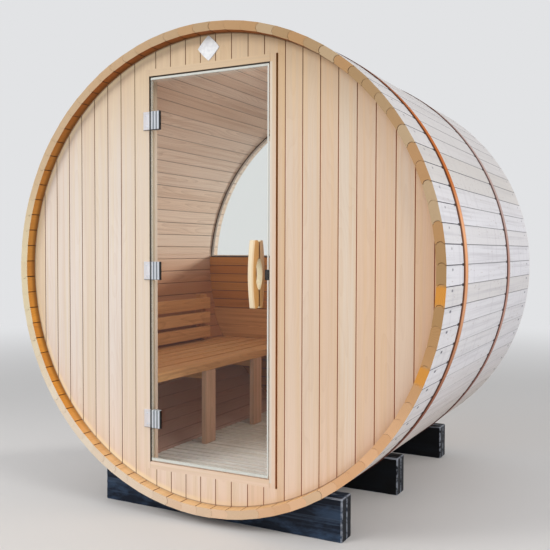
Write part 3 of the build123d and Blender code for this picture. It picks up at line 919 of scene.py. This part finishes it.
def screw_heads(stock, centres, outwards, radius, height, sides=12):
    """Low round heads with a sunk drive: rings of falling radius and changing height on each axis."""
    reach = np.array([1.0, 0.93, 0.7, 0.42, 0.34]) * radius
    rise = np.array([-0.6, 0.55, 1.0, 1.0, 0.15]) * height
    turn = round_turn(sides)
    faces = skin(len(reach), sides) + end_caps((len(reach) - 1) * sides, sides)
    for centre, outward in zip(np.asarray(centres, float), np.asarray(outwards, float)):
        aside = unit(np.cross(outward, (0.0, 1.0, 0.0) if abs(outward[1]) < 0.9 else (1.0, 0.0, 0.0)))
        beside = np.cross(outward, aside)
        ring = np.cos(turn)[:, None] * aside + np.sin(turn)[:, None] * beside
        points = centre + reach[:, None, None] * ring + rise[:, None, None] * outward
        stock.add(points.reshape(-1, 3), faces)


def tube(stock, path, width, depth, sides=8):
    """An oval bead along a path across the barrel: each ring is wide in the path's plane and deep in y."""
    deep = np.array((0.0, 1.0, 0.0))
    ahead = np.gradient(path, axis=0)
    wide = np.cross(ahead, deep)
    wide /= np.linalg.norm(wide, axis=1)[:, None]
    turn = round_turn(sides)
    aside, out = (np.cos(turn) * width / 2)[:, None], (np.sin(turn) * depth / 2)[:, None]
    points = (path[:, None, :] + wide[:, None, :] * aside + deep * out).reshape(-1, 3)
    stock.add(points, skin(len(path), sides) + end_caps((len(path) - 1) * sides, sides))


def seal_path(inset, y):
    """A closed path round the rear window at this inset: over its arc and back along the wall's top."""
    radius = INNER_R - inset
    rise = WINDOW_SILL - AXIS_Z + inset
    start = np.arcsin(rise / radius)
    turn = np.linspace(start, pi - start, ARC_STEPS)
    arc = np.stack((radius * np.cos(turn), np.full_like(turn, y), AXIS_Z + radius * np.sin(turn)), -1)
    half = radius * cos(start)
    back = np.linspace(-half, half, SILL_STEPS)[1:-1]
    sill = np.stack((back, np.full_like(back, y), np.full_like(back, AXIS_Z + rise)), -1)
    return np.concatenate((arc, sill, arc[:1]))


def badge(stock, lowest, highest, sides=96, roundness=1.12):
    """A diamond with rounded corners: a superellipse that shrinks ring by ring while its face steps."""
    turn = round_turn(sides)
    shape_x = np.sign(np.cos(turn)) * np.abs(np.cos(turn)) ** (2 / roundness)
    shape_z = np.sign(np.sin(turn)) * np.abs(np.sin(turn)) ** (2 / roundness)
    reach = np.array([1.0, 1.0, 0.985, 0.94, 0.925, 0.90, 0.5, 0.04]) * (highest.x - lowest.x) / 2
    depth = np.array([0.0, 0.0034, 0.004, 0.004, 0.0038, 0.0032, 0.0032, 0.0032])
    x = np.outer(reach, shape_x)
    z = (lowest.z + highest.z) / 2 + np.outer(reach, shape_z)
    y = np.broadcast_to((highest.y - depth)[:, None], x.shape)
    faces = skin(len(reach), sides) + end_caps((len(reach) - 1) * sides, sides)
    stock.add(np.stack((x, y, z), -1).reshape(-1, 3), faces)


def islands(points, edges):
    """The number of the separate part that each point is in: labels spread along edges and settle."""
    label = np.arange(len(points))
    while True:
        least = label.copy()
        np.minimum.at(least, edges[:, 0], label[edges[:, 1]])
        np.minimum.at(least, edges[:, 1], label[edges[:, 0]])
        least = least[least]
        if (least == label).all():
            return np.unique(label, return_inverse=True)[1]
        label = least


def board_grain(points, part, tone):
    """Grain coordinates of separate boards: along the longest way of each, through its shortest."""
    count = part.max() + 1
    tones, piths = timber(count)
    grain = np.empty_like(points)
    for number in range(count):
        own = part == number
        board = points[own]
        order = np.argsort(np.ptp(board, axis=0))
        grain[own] = (board - board.mean(0))[:, order[[1, 0, 2]]] + piths[number]
    return grain, tones[part] if tone is None else np.full(len(points), tone)


def eased(node, name, material, width=0.0, body="cabin", segments=2, tone=None, smooth=None,
          which=None, flat=INSIDE):
    """A copy of a node with its sharp edges eased, grain along each board, and its new faces marked.

    Flat faces are merged first. Which chooses edges by their middle. A width of 0 keeps the shape.
    """
    shape = bmesh.new()
    shape.from_mesh(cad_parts[node].data)
    bmesh.ops.remove_doubles(shape, verts=shape.verts, dist=MERGE)
    fresh = set()
    if width:
        bmesh.ops.dissolve_limit(shape, angle_limit=FLAT_ANGLE, verts=shape.verts, edges=shape.edges)
        sharp = [edge for edge in shape.edges
                 if len(edge.link_faces) == 2 and edge.calc_face_angle() > SHARP_ANGLE]
        if which:
            sharp = [edge for edge in sharp if which((edge.verts[0].co + edge.verts[1].co) / 2)]
        made = bmesh.ops.bevel(shape, geom=sharp, offset=width, segments=segments,
                               affect="EDGES", clamp_overlap=True)
        fresh = set(made["faces"])
    shape.faces.ensure_lookup_table()
    sides = [OUTSIDE if face in fresh else flat for face in shape.faces]
    mesh = bpy.data.meshes.new(name)
    shape.to_mesh(mesh)
    shape.free()
    points = np.array([vertex.co for vertex in mesh.vertices])
    edges = np.array([edge.vertices[:] for edge in mesh.edges])
    grain, tones = board_grain(points, islands(points, edges), tone)
    dress(mesh, name, material, body, (node,), smooth, grain, tones, sides)


# Front wall. How warm each board looks goes from 0 for the palest to 1. A run of boards has its
# joints, its outlines below and above, the y of both faces, its tones, its piths, and which of its
# two outer edges are rounded.
PANEL_TONE = 0.45
PANEL_PITH = (0.02, 0.09, 3.0)
LEFT_WARMTH = (0.9, 0.1, 0.15, 0.1, 0.45, 0.35, 0.1, 0.4, PANEL_TONE)
RIGHT_WARMTH = (0.35, 0.2, 0.5, 0.0, 0.55, 0.6, 0.3, 0.75, 1.0)
BOARDS_PER_PART = 9

left_piths = timber(BOARDS_PER_PART)[1]
left_piths[-1] = PANEL_PITH
upper_tones, piths = timber(BOARDS_PER_PART)
upper_tones[0], piths[0] = PANEL_TONE, PANEL_PITH
upper_tones[-1] = PANEL_TONE
lower_tones = upper_tones.copy()
lower_tones[1:-1] = chance.random(BOARDS_PER_PART - 2)
right_piths = timber(BOARDS_PER_PART)[1]
rim_low, rim_top = rim(-1), rim(1)
under_frame, over_frame = level(FRAME_LOW), level(FRAME_TOP)
faces = (WALL_FRONT, WALL_BACK)
bed_faces = (WALL_FRONT + GROOVE_DEPTH, WALL_BACK)
edge_joints, edge_tone, edge_pith = [FRAME_RIGHT, RIGHT_JOINTS[0]], [PANEL_TONE], [piths[-1]]
strip_joints, bed_joints = [GROOVE_RIGHT, RIGHT_JOINTS[0]], [FRAME_RIGHT, GROOVE_RIGHT]

front = front_wood()
for part, runs in {
    "left": [(LEFT_JOINTS, rim_low, rim_top, faces, LEFT_WARMTH, left_piths, (False, False))],
    "above_door": [(MIDDLE_JOINTS, over_frame, rim_top, faces, upper_tones, piths, (False, False))],
    "below_door": [(MIDDLE_JOINTS, rim_low, under_frame, faces, lower_tones, piths, (False, False))],
    "right": [
        (edge_joints, over_frame, rim_top, faces, edge_tone, edge_pith, (False, True)),
        (edge_joints, rim_low, under_frame, faces, edge_tone, edge_pith, (False, True)),
        (strip_joints, under_frame, over_frame, faces, edge_tone, edge_pith, (True, True)),
        (bed_joints, under_frame, over_frame, bed_faces, edge_tone, edge_pith, (False, False)),
        (RIGHT_JOINTS, rim_low, rim_top, faces, RIGHT_WARMTH, right_piths, (True, False)),
    ],
}.items():
    boards = Stock()
    for run in runs:
        lay_boards(boards, *run)
    boards.make("front_boards_" + part, front, "wall_wood", stands_for=["front_wall_" + part])


# Door frame: only its edges round the opening are eased
MARGIN = 0.02


def frame_edge_shows(middle):
    """Whether an edge of the door frame, by its middle, lies well inside the frame's outline."""
    inside_x = FRAME_LEFT + MARGIN < middle.x < FRAME_RIGHT - MARGIN
    inside_z = FRAME_LOW + MARGIN < middle.z < FRAME_TOP - MARGIN
    return inside_x and inside_z


for part in ("left", "right", "head", "sill"):
    node = "door_frame_" + part
    eased(node, node + "_planed", front, width=0.0012,
          tone=PANEL_TONE, which=frame_edge_shows, flat=OUTSIDE)

# Rear wall: level boards under the window, jointed on both faces
REAR_BOARDS = 19
rear_joints = np.linspace(AXIS_Z - INNER_R, WINDOW_SILL, REAR_BOARDS + 1)
boards = Stock()
lay_boards(boards, rear_joints, rim_beside(-1), rim_beside(1), (REAR_OUTSIDE, REAR_INSIDE),
           *timber(REAR_BOARDS), upright=False)
boards.make("rear_boards", front, "wall_wood", stands_for=["rear_wall"])

# Staves
stave = stave_wood()
gaps = stave_gaps()
for number in range(STAVE_COUNT // STAVES_PER_NODE):
    node = f"staves_{number + 1:02d}"
    run = lay_staves(number * STAVES_PER_NODE, gaps)
    run.make(node + "_jointed", stave, "stave_wood", stands_for=[node])

# Straps, a little inside the outer face of the frame's
STRAP_SUNK = 0.0003
metal = strap_metal()
for node in STRAPS:
    stock = Stock()
    outer = high(node).x
    hoop(stock, low(node).y, high(node).y, outer - STRAP_THICK, outer - STRAP_SUNK)
    stock.make(node + "_rounded", metal, "band_steel", stands_for=[node], smooth=40)

# Stave screws: one in each stave into each end wall
screw_steel = small_part("screw_steel", (70, 62, 66), (110, 104, 108), roughness=0.45, metallic=0.4,
                         scale=400.0, bleached=(164, 160, 164))
turns = 1.5 * pi - np.arange(STAVE_COUNT) * STAVE_STEP
outwards = np.stack((np.cos(turns), np.zeros(STAVE_COUNT), np.sin(turns)), -1)
beside = np.stack((-np.sin(turns), np.zeros(STAVE_COUNT), np.cos(turns)), -1)
stock = Stock()
for row in SCREW_ROWS:
    centres = outwards * OUTER_R + beside * (OUTER_R * tan(SCREW_OFF * STAVE_STEP)) + (0, row, AXIS_Z)
    screw_heads(stock, centres, outwards, radius=0.0042, height=0.0004)
stock.make("stave_screws", screw_steel, "band_steel", smooth=30)

# Room and cradles: what each node becomes, and the width of its eased edges
bench = plain_wood("bench_wood", (230, 180, 122), (214, 158, 98), (166, 110, 62))
# Legs: paler and greyer than the bench, as a painted reflection of the door glass over them
leg_wood = plain_wood("leg_wood", (228, 192, 164), (216, 178, 150), (170, 130, 100))
# Floor: near white by the door as painted light, and darker further in as painted shade
floor_wood = plain_wood("floor_wood", (255, 255, 254), (246, 246, 240), (186, 172, 154), shade_further_in=0.5)
stain = cradle_timber()
for node, name, material, slot, width in (
    ("bench_seat", "bench_seat_boards", bench, "bench_wood", 0.003),
    ("bench_front_rail", "bench_rail_planed", bench, "bench_wood", 0.003),
    ("bench_legs", "bench_legs_planed", leg_wood, "bench_wood", 0.003),
    ("bench_bearers", "bench_bearers_planed", bench, "bench_wood", 0.002),
    ("backrest_rails", "backrest_rails_planed", bench, "bench_wood", 0.003),
    ("backrest_posts", "backrest_posts_planed", bench, "bench_wood", 0.002),
    ("rear_backrest", "rear_backrest_planed", bench, "bench_wood", 0.003),
    ("floor_slats", "floor_slats_planed", floor_wood, "floor_wood", 0.002),
    ("floor_bearers", "floor_bearers_planed", floor_wood, "floor_wood", 0.002),
    ("cradle_front", "cradle_front_stained", stain, "cradle_timber", 0.0025),
    ("cradle_middle", "cradle_middle_stained", stain, "cradle_timber", 0.0025),
    ("cradle_rear", "cradle_rear_stained", stain, "cradle_timber", 0.0025),
):
    eased(node, name, material, width)

# Door leaf, hinges, handles and catch
leaf_tint = (0.985, 0.99, 0.98, 1.0)
leaf_glass = clear_glass("door_glass_clear", leaf_tint, (214, 216, 209), door_glass_edges)
eased("door_glass", "door_glass_leaf", leaf_glass, width=0.0012, body="door", segments=1)
chrome = hinge_chrome()
eased("hinge_clamps", "hinge_clamps_plated", chrome, width=0.0006, body="door", smooth=30)
eased("hinge_frame_leaves", "hinge_leaves_plated", chrome, width=0.0006, smooth=30)
handle = handle_wood()
eased("door_handle_outer", "handle_outer_oiled", handle, body="door", smooth=35)
eased("door_handle_inner", "handle_inner_oiled", handle, body="door", smooth=35)
catch_black = small_part("catch_black", (24, 24, 26), (38, 38, 42), roughness=0.35)
eased("door_catch", "door_catch_moulded", catch_black, width=0.0015)

# Hinge screws: two in each leaf on the frame
LEAF_THICK = 0.005
LEAF_SCREW_OFF = 0.024
hinge_screw = small_part("hinge_screw", (212, 216, 224), (228, 232, 238), roughness=0.35, metallic=0.3,
                         scale=400.0)
screw_x = (low("hinge_frame_leaves").x + LEAF_RIGHT) / 2
heights = [middle + off for middle in HINGE_MIDDLES for off in (-LEAF_SCREW_OFF, LEAF_SCREW_OFF)]
centres = [(screw_x, WALL_FRONT - LEAF_THICK, height) for height in heights]
stock = Stock()
screw_heads(stock, centres, [(0.0, -1.0, 0.0)] * len(centres), radius=0.0048, height=0.0012)
stock.make("hinge_leaf_screws", hinge_screw, "hinge_metal", smooth=30)

# Rear window: the pane, and a dark and a pale seal round it on both faces
SEAL_DEPTH = 0.005
SEAL_OFF = 0.002
window_tint = (0.97, 0.98, 0.975, 1.0)
window_glass = clear_glass("rear_window_clear", window_tint, (196, 214, 204), window_glass_edges)
eased("rear_window", "rear_window_pane", window_glass)
seal_black = small_part("seal_black", (30, 28, 28), (48, 44, 42), roughness=0.6)
seal_white = small_part("seal_white", (226, 224, 220), (212, 210, 206), roughness=0.4)
for name, material, inset, width in (
    ("window_seal_dark", seal_black, 0.003, 0.006),
    ("window_seal_pale", seal_white, 0.0095, 0.007),
):
    stock = Stock()
    for y in (low("rear_window").y - SEAL_OFF, high("rear_window").y + SEAL_OFF):
        tube(stock, seal_path(inset, y), width, SEAL_DEPTH)
    stock.make(name, material, "catch_metal", smooth=50)

# Badge: a plain diamond with a raised rim
stock = Stock()
badge(stock, low("badge_plate"), high("badge_plate"))
enamel = small_part("badge_enamel", (240, 242, 244), (226, 228, 232), roughness=0.22, scale=60.0)
stock.make("badge_plain", enamel, "badge_enamel", stands_for=["badge_plate"], smooth=30)

# Camera, solved from the circles of the barrel in the photograph
CAMERA_PLACE = (1.79464, -3.62285, 1.18547)
YAW, PITCH, ROLL = radians(27.6946), radians(-1.8499), radians(0.1345)
SENSOR_W, FOCAL_LENGTH = 36, 50.414
FARTHEST = 200
camera_data = bpy.data.cameras.new("camera")
camera_data.sensor_width = SENSOR_W
camera_data.lens = FOCAL_LENGTH
camera_data.clip_end = FARTHEST
camera = put_in_scene("camera", camera_data)
camera.matrix_world = (
    Matrix.Translation(CAMERA_PLACE)
    @ Matrix.Rotation(YAW, 4, "Z")
    @ Matrix.Rotation(pi / 2 + PITCH, 4, "X")
    @ Matrix.Rotation(ROLL, 4, "Z")
)
bpy.context.scene.camera = camera

# Studio: a pale floor that fades into a pale surround, and soft light
BACKGROUND = shade((226, 227, 229))
SKY = (0.95, 0.97, 1.0, 1.0)
SKY_STRENGTH = 0.62
FLOOR_RADIUS, FLOOR_HUB = 60.0, 0.05
MATT_TO, PLAIN_FROM = 3.0, 9.0


def studio_floor():
    """Floor: matt and pale near the object, and the colour of the surround further off."""
    finish, x, y, _ = new_finish("studio_floor")
    away = (x * x + y * y) ** 0.5
    matt = finish.cover((214, 212, 210), roughness=0.8)
    plain = finish.node("Emission", sockets={"Color": BACKGROUND, "Strength": 1.0})
    far_off = away.fade(MATT_TO, PLAIN_FROM) * finish.seen_straight()
    return finish.end_in(finish.node("MixShader", sockets={0: far_off, 1: matt, 2: plain}))


def studio_world():
    """World: a soft sky that lights the object, and the plain surround where it is seen."""
    finish = Finish(bpy.data.worlds.new("studio"))
    sky = finish.node("Background", sockets={"Color": SKY, "Strength": SKY_STRENGTH})
    surround = finish.node("Background", sockets={"Color": BACKGROUND, "Strength": 1.0})
    either = finish.node("MixShader", sockets={0: finish.seen_straight(), 1: sky, 2: surround})
    return finish.end_in(either, "OutputWorld")


def disc(hub, radius, rings=24, sides=96):
    """A flat disc on the ground: rings of points at growing radii, closed in the middle."""
    reach = np.linspace(hub, radius, rings)
    turn = round_turn(sides)
    x, y = np.outer(reach, np.cos(turn)), np.outer(reach, np.sin(turn))
    points = np.stack((x, y, np.zeros_like(x)), -1).reshape(-1, 3)
    return points, skin(rings, sides) + [tuple(range(sides))]


floor_points, floor_faces = disc(FLOOR_HUB, FLOOR_RADIUS)
floor_mesh = bpy.data.meshes.new("studio_floor")
floor_mesh.from_pydata(floor_points.tolist(), [], floor_faces)
floor_mesh.materials.append(studio_floor())
put_in_scene("studio_floor", floor_mesh)
bpy.context.scene.world = studio_world()


def soft_lamp(name, place, aim, size, power, colour, mirrored=True, spread=180):
    """A square area lamp at one point, facing another, that mirrors show unless it is told not to."""
    data = bpy.data.lights.new(name, "AREA")
    data.size = size
    data.energy = power
    data.color = colour
    data.spread = radians(spread)
    lamp = put_in_scene(name, data)
    lamp.visible_glossy = mirrored
    lamp.visible_camera = False
    z_axis = unit(np.array(place, float) - aim)
    x_axis = unit(np.cross((0.0, 0.0, 1.0), z_axis))
    y_axis = np.cross(z_axis, x_axis)
    turn = Matrix(np.stack((x_axis, y_axis, z_axis), -1).tolist()).to_4x4()
    lamp.matrix_world = Matrix.Translation(place) @ turn


# Lamps: place, aim, size, power and colour
soft_lamp("key_lamp", (-3.0, -6.0, 5.0), (0.0, -0.5, 1.0), 3.0, 232, (1.0, 0.98, 0.96), mirrored=False)
soft_lamp("side_lamp", (6.0, -2.5, 4.5), (1.0, 0.0, 1.0), 3.0, 185, (1.0, 0.98, 0.96))
soft_lamp("rear_lamp", (2.5, 6.0, 2.6), (-1.0, 0.3, 1.1), 1.2, 9, (1.0, 0.98, 0.95), spread=26)
soft_lamp("room_lamp", (0.3, -0.3, 1.95), (-0.3, 0.4, 0.5), 0.5, 4.6, (1.0, 0.97, 0.93), mirrored=False)

bpy.context.scene.view_settings.view_transform = "Standard"
